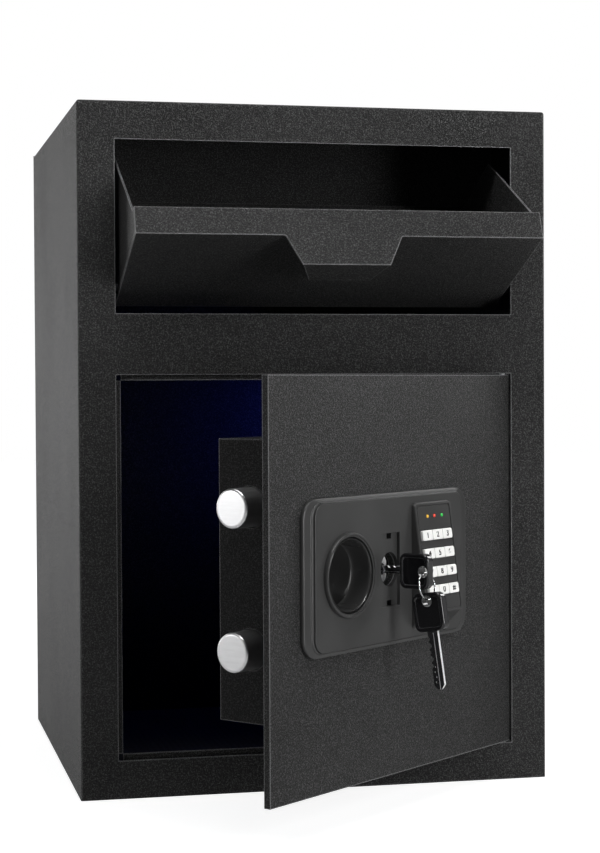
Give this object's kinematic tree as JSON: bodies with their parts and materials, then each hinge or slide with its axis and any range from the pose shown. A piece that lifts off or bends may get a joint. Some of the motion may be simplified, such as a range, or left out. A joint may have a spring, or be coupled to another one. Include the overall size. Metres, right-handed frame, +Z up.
{
  "type": "depository safe",
  "caption": "Front-load depository safe: steel cabinet with a tilting deposit hopper above a hinged door with electronic keypad lock, turn knob, lock bolts and override key.",
  "frame": {"origin": "centre of the cabinet's flat base, on the floor it stands on", "axes": "+Z up; the front face with the hopper and the door faces -Y; +X is the hinge side of the door"},
  "size_m": [0.35, 0.5352, 0.5],
  "materials": {
    "cabinet_paint": "black textured powder coat",
    "plated_steel": "zinc plated",
    "bolt_chrome": "polished chrome plate",
    "panel_plastic": "satin moulded plastic",
    "key_plastic": "satin moulded plastic with printed digits",
    "head_plastic": "gloss black",
    "mat_rubber": "matt",
    "board": "green solder mask",
    "led_yellow": "clear lens",
    "led_red": "clear lens",
    "led_green": "clear lens"
  },
  "bodies": {
    "cabinet": {"side_panel_left": "cabinet_paint", "side_panel_right": "cabinet_paint", "roof_panel": "cabinet_paint", "floor_panel": "cabinet_paint", "back_panel": "cabinet_paint", "front_frame": "cabinet_paint", "door_stop_left": "cabinet_paint", "door_stop_top": "cabinet_paint", "door_stop_bottom": "cabinet_paint", "fishing_baffle": "cabinet_paint", "hopper_bracket_left": "plated_steel", "hopper_bracket_right": "plated_steel", "hinge_block_top": "plated_steel", "hinge_block_bottom": "plated_steel", "floor_mat": "mat_rubber"},
    "hopper": {"hopper_front": "cabinet_paint", "hopper_tray": "cabinet_paint", "hopper_cheek_left": "cabinet_paint", "hopper_cheek_right": "cabinet_paint", "hopper_pivot_rod": "plated_steel"},
    "door": {"door_plate": "cabinet_paint", "hinge_pin_top": "plated_steel", "hinge_pin_bottom": "plated_steel", "inner_cover": "cabinet_paint", "battery_tray": "panel_plastic", "lock_panel": "panel_plastic", "keypad_housing": "panel_plastic", "led_yellow": "led_yellow", "led_red": "led_red", "led_green": "led_green", "solenoid_body": "plated_steel", "emergency_lock_body": "bolt_chrome", "circuit_board": "board"},
    "battery_cover": {"battery_lid": "panel_plastic"},
    "knob": {"turn_knob": "panel_plastic", "knob_crank": "plated_steel"},
    "boltwork": {"bolt_carriage": "plated_steel", "lock_bolt_upper": "bolt_chrome", "lock_bolt_lower": "bolt_chrome"},
    "plunger": {"solenoid_plunger": "plated_steel"},
    "override_key": {"lock_plug": "bolt_chrome", "key_blade_inserted": "bolt_chrome", "key_head_inserted": "head_plastic"},
    "ring": {"key_ring": "bolt_chrome"},
    "spare_key": {"spare_key_blade": "bolt_chrome", "spare_key_head": "head_plastic"},
    "button_1": {"keypad_key_1": "key_plastic"},
    "button_2": {"keypad_key_2": "key_plastic"},
    "button_3": {"keypad_key_3": "key_plastic"},
    "button_4": {"keypad_key_4": "key_plastic"},
    "button_5": {"keypad_key_5": "key_plastic"},
    "button_6": {"keypad_key_6": "key_plastic"},
    "button_7": {"keypad_key_7": "key_plastic"},
    "button_8": {"keypad_key_8": "key_plastic"},
    "button_9": {"keypad_key_9": "key_plastic"},
    "button_star": {"keypad_key_star": "key_plastic"},
    "button_0": {"keypad_key_0": "key_plastic"},
    "button_hash": {"keypad_key_hash": "key_plastic"}
  },
  "joints": [
    {"name": "hopper_tilt", "type": "hinge", "parent": "cabinet", "child": "hopper", "pos_m": [0, -0.159, 0.367], "axis": [1, 0, 0], "range_deg": [-68, 0]},
    {"name": "door_swing", "type": "hinge", "parent": "cabinet", "child": "door", "pos_m": [0.1428, -0.1702, 0.16625], "axis": [0, 0, 1], "range_deg": [-40, 50]},
    {"name": "bolt_slide", "type": "slide", "parent": "door", "child": "boltwork", "axis": [-0.766, -0.6428, 0], "range_m": [0, 0.018]},
    {"name": "knob_turn", "type": "hinge", "parent": "door", "child": "knob", "pos_m": [-0.01583, -0.30957, 0.171], "axis": [0.6428, -0.766, 0], "range_deg": [0, 90.2]},
    {"name": "plunger_pull", "type": "slide", "parent": "door", "child": "plunger", "axis": [0, 0, -1], "range_m": [0, 0.004], "stiffness_N_per_m": 150, "springref_m": -0.002},
    {"name": "battery_lid_off", "type": "slide", "parent": "door", "child": "battery_cover", "axis": [-0.6428, 0.766, 0], "range_m": [0, 0.03]},
    {"name": "key_turn", "type": "hinge", "parent": "door", "child": "override_key", "pos_m": [0.02171, -0.27807, 0.171], "axis": [0.6428, -0.766, 0], "range_deg": [-90, 0]},
    {"name": "ring_swing", "type": "hinge", "parent": "override_key", "child": "ring", "pos_m": [0.04292, -0.30335, 0.1699], "axis": [0.766, 0.6428, 0], "range_deg": [-51, 19]},
    {"name": "spare_key_swing", "type": "hinge", "parent": "ring", "child": "spare_key", "pos_m": [0.04467, -0.30544, 0.15271], "axis": [0.6349, -0.7566, 0.1564], "range_deg": [-12, 12]},
    {"name": "press_1", "type": "slide", "parent": "door", "child": "button_1", "axis": [-0.6364, 0.7585, -0.1402], "range_m": [0, 0.0012], "stiffness_N_per_m": 300, "springref_m": -0.0005},
    {"name": "press_2", "type": "slide", "parent": "door", "child": "button_2", "axis": [-0.6364, 0.7585, -0.1402], "range_m": [0, 0.0012], "stiffness_N_per_m": 300, "springref_m": -0.0005},
    {"name": "press_3", "type": "slide", "parent": "door", "child": "button_3", "axis": [-0.6364, 0.7585, -0.1402], "range_m": [0, 0.0012], "stiffness_N_per_m": 300, "springref_m": -0.0005},
    {"name": "press_4", "type": "slide", "parent": "door", "child": "button_4", "axis": [-0.6364, 0.7585, -0.1402], "range_m": [0, 0.0012], "stiffness_N_per_m": 300, "springref_m": -0.0005},
    {"name": "press_5", "type": "slide", "parent": "door", "child": "button_5", "axis": [-0.6364, 0.7585, -0.1402], "range_m": [0, 0.0012], "stiffness_N_per_m": 300, "springref_m": -0.0005},
    {"name": "press_6", "type": "slide", "parent": "door", "child": "button_6", "axis": [-0.6364, 0.7585, -0.1402], "range_m": [0, 0.0012], "stiffness_N_per_m": 300, "springref_m": -0.0005},
    {"name": "press_7", "type": "slide", "parent": "door", "child": "button_7", "axis": [-0.6364, 0.7585, -0.1402], "range_m": [0, 0.0012], "stiffness_N_per_m": 300, "springref_m": -0.0005},
    {"name": "press_8", "type": "slide", "parent": "door", "child": "button_8", "axis": [-0.6364, 0.7585, -0.1402], "range_m": [0, 0.0012], "stiffness_N_per_m": 300, "springref_m": -0.0005},
    {"name": "press_9", "type": "slide", "parent": "door", "child": "button_9", "axis": [-0.6364, 0.7585, -0.1402], "range_m": [0, 0.0012], "stiffness_N_per_m": 300, "springref_m": -0.0005},
    {"name": "press_star", "type": "slide", "parent": "door", "child": "button_star", "axis": [-0.6364, 0.7585, -0.1402], "range_m": [0, 0.0012], "stiffness_N_per_m": 300, "springref_m": -0.0005},
    {"name": "press_0", "type": "slide", "parent": "door", "child": "button_0", "axis": [-0.6364, 0.7585, -0.1402], "range_m": [0, 0.0012], "stiffness_N_per_m": 300, "springref_m": -0.0005},
    {"name": "press_hash", "type": "slide", "parent": "door", "child": "button_hash", "axis": [-0.6364, 0.7585, -0.1402], "range_m": [0, 0.0012], "stiffness_N_per_m": 300, "springref_m": -0.0005}
  ],
  "couplings": [
    {"joint": "knob_turn", "follows": "bolt_slide", "rad_per_m": 87.266}
  ]
}
